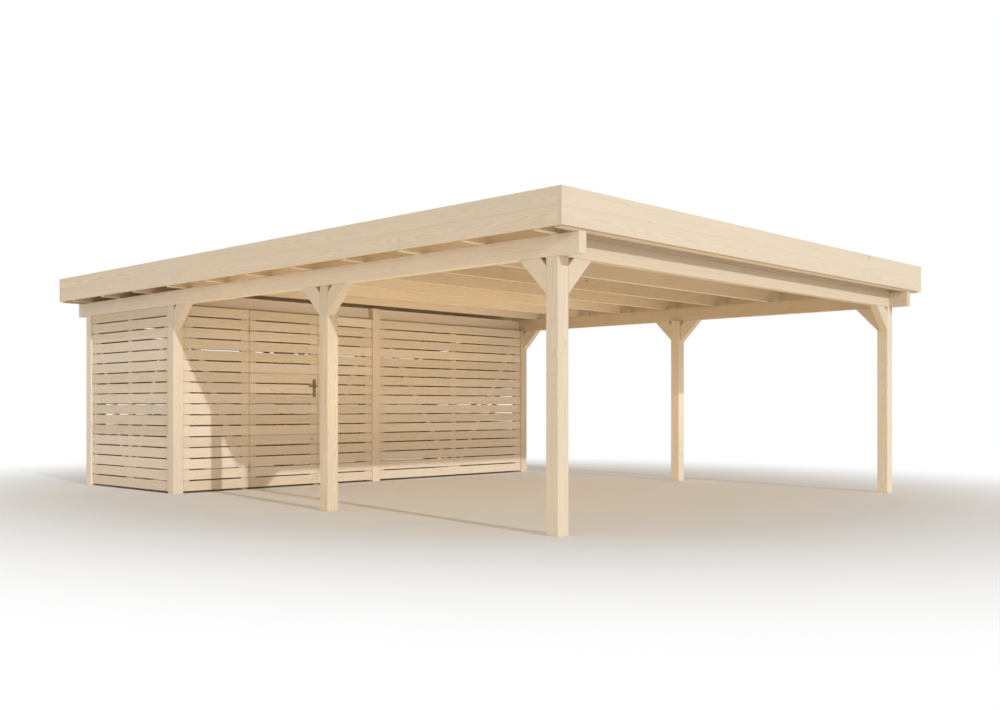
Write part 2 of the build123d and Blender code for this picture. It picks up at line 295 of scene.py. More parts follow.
def reckon_vector(tree, operation, *values):
    """One sum on vectors; returns its result."""
    node = put(tree, "ShaderNodeVectorMath", dict(enumerate(values)), operation=operation)
    return node.outputs[0]


def distance(tree, vector):
    """Length of a vector."""
    node = put(tree, "ShaderNodeVectorMath", {0: vector}, operation="LENGTH")
    return node.outputs["Value"]


def ramp(tree, value, low, high, to_low=0.0, to_high=1.0):
    """Smooth step of `value` from `low` to `high`."""
    inputs = {0: value, 1: low, 2: high, 3: to_low, 4: to_high}
    return put(tree, "ShaderNodeMapRange", inputs, interpolation_type="SMOOTHSTEP").outputs[0]


def blend(tree, share, first, second):
    """Mix of two colours."""
    inputs = {0: share, 6: first, 7: second}
    return put(tree, "ShaderNodeMix", inputs, data_type="RGBA").outputs[2]


def rgb(colour):
    """A colour with full cover."""
    return (*colour, 1.0)


def cloud(tree, vector, cycles, detail=2.0, roughness=0.5):
    """Noise on stretched coordinates, with `cycles` per metre on x, y and z."""
    stretched = reckon_vector(tree, "MULTIPLY", vector, cycles)
    inputs = {"Vector": stretched, "Scale": 1.0, "Detail": detail, "Roughness": roughness}
    return put(tree, "ShaderNodeTexNoise", inputs)


def spruce_figure():
    """Figure of planed spruce, worked out from a point's place in its log.

    Grain is that place in metres: x along the timber, y and z across it from the pith.
    The year rings are the fractions of the distance from the pith over a ring's width.
    The pith wanders slowly along the log, and the rings bulge round knots, which are the
    points of a sparse lattice. Through is how many of its points a metre has on z.
    """
    tree = bpy.data.node_groups.new("spruce figure", "ShaderNodeTree")
    for name, way, kind in (("Grain", "INPUT", "Vector"), ("Tone", "INPUT", "Float"),
                            ("Sawn", "INPUT", "Float"), ("Through", "INPUT", "Float"),
                            ("Color", "OUTPUT", "Color"), ("Roughness", "OUTPUT", "Float"),
                            ("Height", "OUTPUT", "Float")):
        tree.interface.new_socket(name, in_out=way, socket_type=f"NodeSocket{kind}")
    given = put(tree, "NodeGroupInput").outputs
    grain = given["Grain"]

    # Knots, in the cells of the lattice whose own number is high enough
    spacing = {0: KNOTS_ALONG, 1: KNOTS_ACROSS, 2: given["Through"]}
    lattice = put(tree, "ShaderNodeCombineXYZ", spacing).outputs[0]
    squeezed = reckon_vector(tree, "MULTIPLY", grain, lattice)
    cell = put(tree, "ShaderNodeTexVoronoi", {"Vector": squeezed, "Scale": 1.0}).outputs
    chance = put(tree, "ShaderNodeSeparateColor", {0: cell["Color"]}).outputs[0]
    kept = reckon(tree, "GREATER_THAN", chance, KNOTLESS)
    near = reckon(tree, "MULTIPLY", ramp(tree, cell["Distance"], KNOT_HALO, 0.0), kept)
    knot = reckon(tree, "MULTIPLY", ramp(tree, cell["Distance"], *KNOT_EDGE), kept)

    # Year rings, each a slow rise to late wood and a quick fall back
    wander = cloud(tree, grain, WANDER_CYCLES).outputs["Color"]
    wander = reckon_vector(tree, "SUBTRACT", wander, NOISE_MIDDLE)
    drift = reckon_vector(tree, "MULTIPLY", wander, (0.0, PITH_WANDER, PITH_WANDER))
    wandered = reckon_vector(tree, "ADD", grain, drift)
    reach = distance(tree, reckon_vector(tree, "MULTIPLY", wandered, (0, 1, 1)))
    reach = reckon(tree, "MULTIPLY_ADD", near, RING_BULGE, reach)
    ring = reckon(tree, "FRACT", reckon(tree, "DIVIDE", reach, RING_WIDTH))
    rise, fall = ramp(tree, ring, *LATE_RISE), ramp(tree, ring, *LATE_FALL)
    late = reckon(tree, "MULTIPLY", rise, fall)

    # Streaks along the fibres, slow changes of tone, and the fibres themselves
    streak = cloud(tree, grain, STREAK_CYCLES, detail=3.0, roughness=0.6).outputs["Fac"]
    slow = cloud(tree, grain, TONE_CYCLES, detail=1.0).outputs["Fac"]
    fibre = cloud(tree, grain, FIBRE_CYCLES).outputs["Fac"]

    # Colour: rings, streaks, halos and knots, sawn ends, then the timber's own tone
    ringed = reckon(tree, "MULTIPLY", late, reckon(tree, "MULTIPLY_ADD", slow, *RING_DEPTH))
    streaked = ramp(tree, streak, *STREAK_EDGE, to_high=STREAK_COVER)
    wood = blend(tree, ringed, rgb(EARLY_WOOD), rgb(LATE_WOOD))
    wood = blend(tree, streaked, wood, rgb(LATE_WOOD))
    for share, cover, colour in ((near, HALO_COVER, LATE_WOOD), (knot, KNOT_COVER, KNOT),
                                 (given["Sawn"], SAWN_COVER, SAWN_END)):
        wood = blend(tree, reckon(tree, "MULTIPLY", share, cover), wood, rgb(colour))
    level = reckon(tree, "MULTIPLY_ADD", given["Tone"], TONE_LEVEL, 1.0)
    drift = reckon(tree, "MULTIPLY_ADD", slow, SLOW_LEVEL, -SLOW_LEVEL / 2)
    level = reckon(tree, "ADD", level, drift)
    depth = reckon(tree, "MULTIPLY_ADD", given["Tone"], -TONE_DEPTH, 1.0)
    inputs = {"Color": wood, "Value": level, "Saturation": depth}
    wood = put(tree, "ShaderNodeHueSaturation", inputs).outputs[0]

    # Late wood shines a little more and stands a little higher
    rough = reckon(tree, "MULTIPLY_ADD", late, -LATE_GLOSS, WOOD_ROUGHNESS)
    rough = reckon(tree, "MULTIPLY_ADD", streak, STREAK_DULL, rough)
    height = reckon(tree, "MULTIPLY", late, 1 - FIBRE_SHARE)
    height = reckon(tree, "MULTIPLY_ADD", fibre, FIBRE_SHARE, height)
    put(tree, "NodeGroupOutput", {"Color": wood, "Roughness": rough, "Height": height})
    return tree


def new_finish(name):
    """A new material, and its node tree with nothing in it."""
    material = bpy.data.materials.new(name)
    material.use_nodes = True
    material.node_tree.nodes.clear()
    return material, material.node_tree


def coat(tree, colour, roughness, height, strength, depth, **settings):
    """End a material's tree with its shader, bumped by `height` up to `depth`."""
    bump = put(tree, "ShaderNodeBump", {"Height": height, "Strength": strength,
                                        "Distance": depth})
    shader = put(tree, "ShaderNodeBsdfPrincipled", {
        "Base Color": colour, "Roughness": roughness, "Normal": bump.outputs[0], **settings,
    })
    put(tree, "ShaderNodeOutputMaterial", {"Surface": shader.outputs[0]})


def spruce(name, grain_of, knots_through=KNOTS_ACROSS):
    """Planed spruce. `grain_of` adds the nodes that give the grain, tone and sawn ends."""
    material, tree = new_finish(name)
    grain, tone, sawn = grain_of(tree)
    inputs = {"Grain": grain, "Tone": tone, "Sawn": sawn, "Through": knots_through}
    wood = put(tree, "ShaderNodeGroup", inputs, node_tree=figure).outputs
    coat(tree, wood["Color"], wood["Roughness"], wood["Height"], WOOD_BUMP, WOOD_RELIEF,
         **{"Specular IOR Level": WOOD_SHINE})
    return material


def board_grain(tree):
    """Grain, tone and sawn ends of timbers that carry them in their mesh."""
    def read(name):
        return put(tree, "ShaderNodeAttribute", attribute_name=name).outputs
    return read("grain")["Vector"], read("tone")["Fac"], read("sawn")["Fac"]


TURN_TO_X = {"x": (0, 0, 0), "y": (0, 0, -math.pi / 2), "z": (0, math.pi / 2, 0)}


def timber_grain(node, along, log):
    """Grain of one squared timber of the frame: turned from `along` to x and centred.

    `log` is the timber's number. It gives the stretch of log that the timber is cut from,
    and its tone, as the sine of `TIMBER_TONE_STEP` times that number.
    """
    def grain(tree):
        low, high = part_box(node)
        turn = Euler(TURN_TO_X[along])
        place = Vector((LOG_STEP * log, *PITH_PLACE)) - turn.to_matrix() @ ((low + high) / 2)
        coordinates = put(tree, "ShaderNodeTexCoord").outputs
        inputs = {"Vector": coordinates["Object"], "Location": place, "Rotation": turn}
        turned = put(tree, "ShaderNodeMapping", inputs).outputs[0]
        parts = put(tree, "ShaderNodeSeparateXYZ", {0: coordinates["Normal"]}).outputs
        end = ramp(tree, reckon(tree, "ABSOLUTE", parts["xyz".index(along)]), *END_FACING)
        return turned, math.sin(TIMBER_TONE_STEP * log), end
    return grain


def brace_grain(axis, middle, half, log):
    """Grain of the knee braces, which lean away from their posts towards a bay's middle.

    With d the distance from the bay's middle, x runs up the brace as (z - d) / root 2 and
    y across it as (z + d) / root 2. Two bays mirror each other about `middle`, with their
    own middles `half` away from it. Every brace is moved on in the log with its place on
    `axis`. The tone is the sine of `BRACE_TONE_STEP` times `log`.
    """
    def grain(tree):
        coordinates = put(tree, "ShaderNodeTexCoord").outputs
        parts = put(tree, "ShaderNodeSeparateXYZ", {0: coordinates["Object"]}).outputs
        station = parts["xyz".index(axis)]
        from_middle = reckon(tree, "ABSOLUTE", reckon(tree, "SUBTRACT", station, middle))
        away = reckon(tree, "ABSOLUTE", reckon(tree, "SUBTRACT", from_middle, half))
        up = reckon(tree, "MULTIPLY", reckon(tree, "SUBTRACT", parts[2], away), math.sqrt(0.5))
        over = reckon(tree, "MULTIPLY", reckon(tree, "ADD", parts[2], away), math.sqrt(0.5))
        shifted = reckon(tree, "MULTIPLY_ADD", station, BRACE_LOG_STEP, up)
        other = parts["xyz".index("y" if axis == "x" else "x")]
        grain = put(tree, "ShaderNodeCombineXYZ", {0: shifted, 1: over, 2: other}).outputs[0]
        return grain, math.sin(BRACE_TONE_STEP * log), 0.0
    return grain


def speckled(name, colour, other, roughness, size, **settings):
    """A metal finish that drifts between two colours over patches of `size`."""
    material, tree = new_finish(name)
    place = put(tree, "ShaderNodeTexCoord").outputs["Object"]
    patches = cloud(tree, place, (1 / size,) * 3, detail=4.0, roughness=0.6).outputs["Fac"]
    grit = cloud(tree, place, (GRIT_FINER / size,) * 3).outputs["Fac"]
    tint = blend(tree, ramp(tree, patches, *PATCH_EDGE), rgb(colour), rgb(other))
    rough = reckon(tree, "MULTIPLY_ADD", grit, GRIT_DULL, roughness - GRIT_DULL / 2)
    coat(tree, tint, rough, grit, METAL_BUMP, size / METAL_FLATNESS, **settings)
    return material


def sheet_roofing(name, dark, pale, dust_and_lap_highlight):
    """Matt roofing sheets: fine grain, a tone that changes from sheet to sheet, and dust.

    With n the number of the sheet along Y, its tone swings with the sine of n times
    `SHEET_TONE_STEP`. The dust lies in broad clouds. Along the lower side of every lap, the
    same pale colour is a painted highlight on the lap's edge.
    """
    material, tree = new_finish(name)
    place = put(tree, "ShaderNodeTexCoord").outputs["Object"]
    along = put(tree, "ShaderNodeSeparateXYZ", {0: place}).outputs[1]
    first_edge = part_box("roof_covering")[0].y
    number = reckon(tree, "DIVIDE", reckon(tree, "SUBTRACT", along, first_edge), SHEET_WIDTH)
    step = reckon(tree, "MULTIPLY", reckon(tree, "FLOOR", number), SHEET_TONE_STEP)
    tone = reckon(tree, "SINE", step)
    tone = reckon(tree, "MULTIPLY_ADD", tone, SHEET_TONE_SWING, SHEET_TONE_MIDDLE)
    grit = cloud(tree, place, SHEET_GRIT_CYCLES).outputs["Fac"]
    patches = cloud(tree, place, DUST_CYCLES, detail=4.0, roughness=0.6).outputs["Fac"]
    tint = blend(tree, tone, rgb(dark), rgb(pale))
    gritty = ramp(tree, grit, *SHEET_GRIT_EDGE, to_high=SHEET_GRIT_COVER)
    tint = blend(tree, gritty, tint, rgb(pale))
    clouds = ramp(tree, patches, *DUST_EDGE, to_high=DUST_IN_CLOUDS)
    # Painted highlight: a pale band along the lower side of every lap
    lap_highlight = ramp(tree, reckon(tree, "FRACT", number), *LAP_HIGHLIGHT_EDGE)
    dust_and_highlight = reckon(tree, "ADD", clouds, reckon(tree, "MULTIPLY", lap_highlight, LAP_HIGHLIGHT_SHARE))
    tint = blend(tree, reckon(tree, "MULTIPLY", dust_and_highlight, DUST_AND_HIGHLIGHT_COVER), tint, rgb(dust_and_lap_highlight))
    rough = reckon(tree, "MULTIPLY_ADD", grit, GRIT_DULL, SHEET_ROUGHNESS)
    coat(tree, tint, rough, grit, SHEET_BUMP, SHEET_RELIEF,
         **{"Specular IOR Level": SHEET_SHINE})
    return material


figure = spruce_figure()
wall_spruce = spruce("planed wall boards", board_grain, WIDE_KNOTS)
roof_spruce = spruce("planed roof boards", board_grain, WIDE_KNOTS)
rafter_spruce = spruce("planed rafters", board_grain)
fascia_spruce = spruce("planed fascia boards", board_grain, WIDE_KNOTS)
roofing_sheet = sheet_roofing("matt roofing sheet", *SHEET_COLOURS)
zinc_steel = speckled("zinc plated steel", *ZINC, Metallic=1.0)
# Painted shade for the hole of the key slot
key_slot_shade = speckled("painted shade of the key slot", *KEY_SLOT_SHADE)
bronze = speckled("satin dark bronze", *BRONZE, Metallic=1.0)


# Surfaces


def corners_of(node):
    """Lowest and highest corner of a node's box, as arrays."""
    return tuple(np.array(corner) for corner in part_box(node))


def gather(stocks):
    """Join the surfaces of several timbers into one: points, faces and values on points."""
    count = np.cumsum([0] + [len(stock["points"]) for stock in stocks])
    joined = {
        key: np.concatenate([stock[key] for stock in stocks])
        for key in stocks[0] if key != "faces"
    }
    joined["faces"] = [
        corners + first for stock, first in zip(stocks, count) for corners in stock["faces"]
    ]
    return joined


def put_in_place(name, mesh, material, body, slot, *stands_for):
    """Make a mesh a piece of the scene that rides on a body of the frame."""
    mesh.materials.append(material)
    made = bpy.data.objects.new(name, mesh)
    bpy.context.scene.collection.objects.link(made)
    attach(made, body)
    if stands_for:
        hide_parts(*stands_for)
    return made


def piece(name, stock, material, body, slot, *stands_for):
    """Put a surface, with the values on its points, into a new piece."""
    mesh = bpy.data.meshes.new(name)
    faces = [row for corners in stock["faces"] for row in corners.tolist()]
    mesh.from_pydata(stock["points"].tolist(), [], faces)
    for key, kind, field in (("grain", "FLOAT_VECTOR", "vector"), ("tone", "FLOAT", "value"),
                             ("sawn", "FLOAT", "value")):
        if key in stock:
            layer = mesh.attributes.new(key, kind, "POINT")
            layer.data.foreach_set(field, stock[key].astype(np.float32).ravel())
    return put_in_place(name, mesh, material, body, slot, *stands_for)


def timbers(start, end, face, width, depth, arris, seed, cut=None, heart=0.07, variety=0.5):
    """Straight timbers with rounded arrises, all worked out together.

    A timber runs from the middle of its section at `start` to `end`, and its wide side
    looks along `face`. Its section is a rectangle, `width` by `depth`, whose corners are
    quarter rounds of radius `arris`. The section is carried along the timber and drawn in
    a little at both ends. `cut` is the square direction of the end cuts, by default along
    the timber. The grain is the place along and across the timber, moved to a random
    stretch of a log whose pith lies up to `heart` away from the timber's middle. `variety`
    is how far the tone of one timber may lie from the next.
    """
    start = np.atleast_2d(np.asarray(start, float))
    end = np.broadcast_to(np.asarray(end, float), start.shape)
    face = np.broadcast_to(np.asarray(face, float), start.shape)
    count = len(start)
    width = np.broadcast_to(np.asarray(width, float), count)
    depth = np.broadcast_to(np.asarray(depth, float), count)
    run = end - start
    length = np.linalg.norm(run, axis=1)
    along = run / length[:, None]
    wide = np.cross(face, along)
    cut = along if cut is None else np.broadcast_to(np.asarray(cut, float), start.shape)
    slope = -(wide * cut).sum(1) / (along * cut).sum(1)

    # Three points to each corner of the section, at four stations along the timber
    corner = np.repeat(np.arange(4), 3)
    around, each = len(corner), 4 * len(corner)
    turn = np.radians(180 + 90 * corner + 45 * np.tile(np.arange(3), 4))
    side_u = np.array([-1, 1, 1, -1])[corner]
    side_v = np.array([-1, -1, 1, 1])[corner]
    radius = arris - CUT_EDGE * np.array([1, 0, 0, 1])[:, None]
    u = side_u * (width[:, None, None] / 2 - arris) + radius * np.cos(turn)
    v = side_v * (depth[:, None, None] / 2 - arris) + radius * np.sin(turn)
    station = np.stack([0 * length, 0 * length + CUT_EDGE, length - CUT_EDGE, length], 1)
    s = station[:, :, None] + slope[:, None, None] * u
    points = (
        start[:, None, None]
        + s[..., None] * along[:, None, None]
        + u[..., None] * wide[:, None, None]
        + v[..., None] * face[:, None, None]
    )

    rng = np.random.default_rng(seed)
    log = np.stack([
        rng.uniform(0, LOG_LENGTH, count),
        rng.uniform(*PITH_ACROSS, count) * heart,
        rng.uniform(*PITH_AWAY, count) * heart * rng.choice([-1, 1], count),
    ], 1)
    grain = np.stack([s, u, v], -1) + log[:, None, None]
    tone = variety * rng.normal(0, 1, count).clip(-WIDEST_TONE, WIDEST_TONE)
    tone = np.broadcast_to(tone[:, None, None], s.shape)
    sawn = np.broadcast_to(np.array([1.0, 0, 0, 1])[:, None], s.shape)

    ring = np.arange(around)
    first = each * np.arange(count)[:, None, None] + around * np.arange(3)[:, None]
    here, after = first + ring, first + np.roll(ring, -1)
    sides = np.stack([here, after, after + around, here + around], -1).reshape(-1, 4)
    base = each * np.arange(count)[:, None]
    return {
        "points": points.reshape(-1, 3),
        "faces": [sides, base + ring[::-1], base + 3 * around + ring],
        "grain": grain.reshape(-1, 3),
        "tone": tone.reshape(-1),
        "sawn": sawn.reshape(-1),
    }


def screw_heads(centres, face):
    """Flat screw heads on boards and plates.

    The surface is a profile of radius and height turned about `face`: a small recess in
    the middle, a flat rim a hair proud of the board, and an edge that goes into it.
    """
    centres = np.asarray(centres, float)
    face = np.broadcast_to(np.asarray(face, float), centres.shape)
    up = np.array([0.0, 0.0, 1.0])
    side = np.cross(up, face)
    radius = SCREW_RADIUS * np.array(SCREW_RINGS)
    height = np.array(SCREW_HEIGHTS)
    turn = 2 * math.pi * np.arange(SCREW_SIDES) / SCREW_SIDES
    ring_u = radius[:, None] * np.cos(turn)
    ring_v = radius[:, None] * np.sin(turn)
    points = (
        centres[:, None, None]
        + ring_u[..., None] * side[:, None, None]
        + ring_v[..., None] * up
        + (height[:, None] + 0 * turn)[..., None] * face[:, None, None]
    )
    count, rings, ring = len(centres), len(radius), np.arange(SCREW_SIDES)
    first = rings * SCREW_SIDES * np.arange(count)[:, None, None]
    first = first + SCREW_SIDES * np.arange(rings - 1)[:, None]
    here, after = first + ring, first + np.roll(ring, -1)
    sides = np.stack([here, here + SCREW_SIDES, after + SCREW_SIDES, after], -1)
    base = rings * SCREW_SIDES * np.arange(count)[:, None]
    back = base + (rings - 1) * SCREW_SIDES + ring[::-1]
    return {"points": points.reshape(-1, 3),
            "faces": [sides.reshape(-1, 4), base + ring, back]}


# Slatted walls and the door


def wall_frame(node, out):
    """Corner of a wall's face at its foot, its direction along the wall, and its sizes."""
    low, high = corners_of(node)
    out = np.array(out, float)
    axis = 0 if out[1] else 1
    along = np.eye(3)[axis]
    corner = np.where(out > 0, high, low)
    corner[axis], corner[2] = low[axis], low[2]
    depth = (high - low)[1 - axis]
    return corner, along, high[axis] - low[axis], high[2] - low[2], depth


def rows_of_boards(height, drop=0.0):
    """Lower and upper edges of a wall's boards, the first and last cut to the wall's height.

    The edges are an even row of board and gap, moved down by `drop`.
    """
    low = np.arange(0, height - BOARD_GAP, BOARD_WIDTH + BOARD_GAP) - drop
    return low.clip(0), np.minimum(low + BOARD_WIDTH, height)


def slatted_wall(node, out, battens, diagonals, seed, ledges=(), drop=0.0):
    """Level boards on upright battens, with diagonals or ledges between the battens.

    Places on the wall are (distance along it, height, distance behind its face). Battens
    are given by the places of their middles as shares of the wall's length, measured
    between the two end battens; diagonals by the numbers of the battens that their head
    and foot lean on. Returns the timbers and the heads of the screws.
    """
    corner, along, length, height, depth = wall_frame(node, out)
    out = np.array(out, float)
    up = np.array([0.0, 0.0, 1.0])

    def spot(a, z, behind):
        a, z, behind = np.broadcast_arrays(a, z, behind)
        return corner + a[..., None] * along + z[..., None] * up - behind[..., None] * out

    # Boards, each a touch out of line but for the first and last
    rng = np.random.default_rng(seed + SLIP_SEED)
    low, high = rows_of_boards(height, drop)
    rise, middle = high - low, (low + high) / 2
    slip = rng.normal(0, BOARD_SLIP, len(low)).clip(-2 * BOARD_SLIP, 2 * BOARD_SLIP)
    slip[[0, -1]] = 0
    middle = middle + slip
    core = BOARD_THICKNESS / 2
    stocks = [timbers(spot(0, middle, core), spot(length, middle, core), out, rise,
                      BOARD_THICKNESS, BOARD_ARRIS, seed)]

    # Battens, diagonals and ledges behind them
    inner = depth - BOARD_THICKNESS
    behind = BOARD_THICKNESS + inner / 2
    lines = BATTEN_WIDTH / 2 + np.array(battens) * (length - BATTEN_WIDTH)
    stocks.append(timbers(spot(lines, 0, behind), spot(lines, height, behind), out,
                          BATTEN_WIDTH, inner, BOARD_ARRIS, seed + BATTEN_SEED))
    for number, (head, foot) in enumerate(diagonals):
        # Its middle line falls across the whole bay, and is cut at the battens' inner edges
        toward = math.copysign(1, foot - head)
        ends = np.array([0, length / 2, length])
        ends = ends[[int(2 * battens[head]), int(2 * battens[foot])]]
        edge = np.array([lines[head], lines[foot]]) + toward * BATTEN_WIDTH / 2 * np.array([1, -1])
        level = height * (1 - (edge - ends[0]) / (ends[1] - ends[0]))
        top, bottom = spot(edge, level, behind - DIAGONAL_RELIEF / 2)
        stocks.append(timbers(top, bottom, out, DIAGONAL_WIDTH, inner - DIAGONAL_RELIEF,
                              BOARD_ARRIS, seed + DIAGONAL_SEED + number, cut=along))
    for row in ledges:
        level = low[row + 1] - BOARD_GAP / 2
        stocks.append(timbers(spot(BATTEN_WIDTH, level, behind),
                              spot(length - BATTEN_WIDTH, level, behind), out,
                              BATTEN_WIDTH, inner, BOARD_ARRIS, seed + LEDGE_SEED + row))

    # Two screws wherever a board crosses a batten
    line, row, side = np.meshgrid(lines, np.arange(len(low)), (-1, 1), indexing="ij")
    reach = np.minimum(SCREW_SPREAD, rise / 4)[row] * side
    slip = rng.normal(0, SCREW_SLIP, (2, *line.shape))
    heads = spot(line + slip[0], middle[row] + reach + slip[1], 0).reshape(-1, 3)
    return gather(stocks), screw_heads(heads, out)


# The way that each wall looks out, the places of its battens, and its diagonals
FRONT, REAR, LEFT, RIGHT = (0, -1, 0), (0, 1, 0), (-1, 0, 0), (1, 0, 0)
ends_only, with_middle = (0, 1), (0, 0.5, 1)
falling, rising, toward_middle = [(0, 1)], [(1, 0)], [(0, 1), (2, 1)]
walls = {
    "store_panel_left": (FRONT, ends_only, falling),
    "store_panel_middle": (FRONT, ends_only, rising),
    "store_panel_right": (FRONT, with_middle, toward_middle),
    "rear_panel_left": (REAR, with_middle, toward_middle),
    "rear_panel_right": (REAR, with_middle, toward_middle),
    "left_wall_panel": (LEFT, with_middle, toward_middle),
    "right_wall_panel": (RIGHT, with_middle, toward_middle),
}
wall_screws = []
for number, (node, (out, battens, diagonals)) in enumerate(walls.items()):
    boards, screws = slatted_wall(node, out, battens, diagonals, WALL_SEED * (number + 1),
                                  drop=REAR_BOARD_DROP if out == REAR else 0.0)
    piece(f"{node}_boards", boards, wall_spruce, "frame", "wall_boards", node)
    wall_screws.append(screws)
piece("wall_screws", gather(wall_screws), zinc_steel, "frame", "hinge_steel")

boards, screws = slatted_wall("door_leaf", FRONT, ends_only, [], DOOR_SEED, LEDGE_ROWS)
piece("door_leaf_boards", boards, wall_spruce, "door", "wall_boards", "door_leaf")
piece("door_screws", screws, zinc_steel, "door", "hinge_steel")


# Roof


def level_timbers(node, axis, stations, levels, width, depth, arris, seed, variety=0.5):
    """Timbers on edge, laid level along one axis from end to end of a node's box.

    `stations` are the places of their middles across the box, and `levels` their heights.
    """
    low, high = corners_of(node)
    start = np.zeros((len(stations), 3))
    start[:, 1 - axis] = stations
    start[:, 2] = levels
    end = start.copy()
    start[:, axis], end[:, axis] = low[axis], high[axis]
    return timbers(start, end, np.eye(3)[1 - axis], width, depth, arris, seed,
                   variety=variety)


rafter_low, rafter_high = corners_of("rafters")
rafter_depth = rafter_high[2] - rafter_low[2]
rafter_lines = np.linspace(rafter_low[1] + RAFTER_THICKNESS / 2,
                           rafter_high[1] - RAFTER_THICKNESS / 2, RAFTER_COUNT)
rim_low, rim_high = corners_of("rim_rafters")
rim_lines = [rim_low[1] + RAFTER_THICKNESS / 2, rim_high[1] - RAFTER_THICKNESS / 2]
for node, name, stations, seed in (
    ("rafters", "rafter_timbers", rafter_lines, RAFTER_SEED),
    ("rim_rafters", "rim_rafter_timbers", rim_lines, RIM_RAFTER_SEED),
):
    level = corners_of(node)[1][2] - rafter_depth / 2
    piece(name, level_timbers(node, 0, stations, level, rafter_depth, RAFTER_THICKNESS,
                              RAFTER_ARRIS, seed),
          rafter_spruce, "frame", "roof_timber", node)


def deck_boards():
    """Tongued boards over the rafters, butted over a rafter that changes from row to row.

    The boards' lower arrises meet in a small groove. Every row is three boards.
    """
    low, high = corners_of("roof_deck")
    count = round((high[0] - low[0]) / DECK_BOARD)
    edges = np.linspace(low[0], high[0], count + 1)
    middles = (edges[1:] + edges[:-1]) / 2
    rng = np.random.default_rng(DECK_JOINT_SEED)
    rounds = count // len(FIRST_JOINT_ON) + 1
    first = rng.permuted(np.tile(FIRST_JOINT_ON, rounds))[:count]
    second = first + rng.integers(*SECOND_JOINT_AFTER, count)
    breaks = np.stack([rafter_lines[first], rafter_lines[second]], 1)
    starts = np.column_stack([np.full(count, low[1]), breaks])
    ends = np.column_stack([breaks, np.full(count, high[1])])
    x = np.repeat(middles, starts.shape[1])
    z = np.full(len(x), (low[2] + high[2]) / 2)
    return timbers(np.stack([x, starts.ravel(), z], 1), np.stack([x, ends.ravel(), z], 1),
                   (0, 0, -1), edges[1] - edges[0], high[2] - low[2], DECK_ARRIS, DECK_SEED)


piece("roof_boards", deck_boards(), roof_spruce, "frame", "roof_timber", "roof_deck")


def fascia_pair(node, axis, seed):
    """The two boards of one side's fascia, on edge, one over the other."""
    low, high = corners_of(node)
    across = 1 - axis
    board = (high[2] - low[2] - FASCIA_SEAM) / 2
    stations = [(low + high)[across] / 2] * 2
    levels = low[2] + board / 2, high[2] - board / 2
    return level_timbers(node, axis, stations, levels, board, (high - low)[across],
                         FASCIA_ARRIS, seed, FASCIA_VARIETY)


for number, (side, axis) in enumerate((("front", 0), ("rear", 0), ("left", 1), ("right", 1))):
    piece(f"{side}_fascia_boards", fascia_pair(f"{side}_fascia", axis, FASCIA_SEED + number),
          fascia_spruce, "frame", "fascia_timber", f"{side}_fascia")


def net_quads(net):
    """The corners of every mesh of a net, in turn round it."""
    quads = np.stack([net[:-1, :-1], net[1:, :-1], net[1:, 1:], net[:-1, 1:]], -1)
    return quads.reshape(-1, 4)


def roofing():
    """Roofing sheets lapped along Y, turned up in a cove behind the fascia.

    With u across the roof and v along it, the height is the larger of two profiles: the
    turned-up edge over u and the turned-up edge over v. Each profile is a flat middle, a
    quarter-round cove and an upright. The laps are steps in the flat part, over v. The
    underside is the same net laid flat. Points that meet are made one, and the meshes of
    the net that this leaves without a width are dropped.
    """
    low, high = corners_of("roof_covering")
    flat = high[2]
    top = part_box("covering_upstands")[1].z
    turn = np.radians(np.linspace(0, 90, COVE_STEPS))
    cove_run = SHEET_THICKNESS + SHEET_COVE * (1 - np.cos(turn))
    cove_climb = flat + SHEET_COVE * (1 - np.sin(turn))
    run = np.concatenate([[0, 0, SHEET_THICKNESS], cove_run])
    climb = np.concatenate([[low[2], top, top], cove_climb])

    def profile(axis, inner, levels):
        """Places and heights from one outer edge over the middle to the other."""
        place = np.concatenate([low[axis] + run, inner, high[axis] - run[::-1]])
        return place, np.concatenate([climb, levels, climb[::-1]])

    inner_x = np.linspace(low[0] + EDGE_STRIP, high[0] - EDGE_STRIP, STRIPS_ACROSS)
    x, over_x = profile(0, inner_x, np.full(STRIPS_ACROSS, flat))
    laps = np.arange(low[1] + SHEET_WIDTH, high[1] - EDGE_STRIP, SHEET_WIDTH)
    inner_y = np.sort(np.concatenate([laps - LAP_STEP, laps, laps + LAP_SLOPE]))
    rise = np.tile([0.0, SHEET_LAP, SHEET_LAP * LAP_FOOT], len(laps))
    y, over_y = profile(1, inner_y, flat - SHEET_LAP + rise)

    inside = (over_x[:, None] <= flat) & (over_y <= flat)
    z = np.where(inside, over_y, np.maximum(over_x[:, None], over_y))
    border = np.zeros(z.shape, bool)
    border[[0, -1]] = border[:, [0, -1]] = True
    z = np.where(border, low[2], z)
    gx, gy = np.meshgrid(x, y, indexing="ij")
    upper = np.stack([gx, gy, z], -1).reshape(-1, 3)
    lower = np.stack([gx, gy, np.full(z.shape, low[2])], -1).reshape(-1, 3)
    net = np.arange(z.size).reshape(z.shape)
    below = np.where(border, net, net + z.size)
    corners = np.concatenate([net_quads(net), net_quads(below)[:, [0, 3, 2, 1]]])
    points = np.concatenate([upper, lower]).round(SAME_PLACE_DIGITS)
    points, same = np.unique(points, axis=0, return_inverse=True)
    corners = same.reshape(-1)[corners]
    whole = (corners != np.roll(corners, 1, axis=1)).all(1)
    return {"points": points, "faces": [corners[whole]]}


piece("roofing_sheets", roofing(), roofing_sheet, "frame", "roof_covering",
      "roof_covering", "covering_upstands")


# Squared timbers and fittings of the frame, with their arrises eased


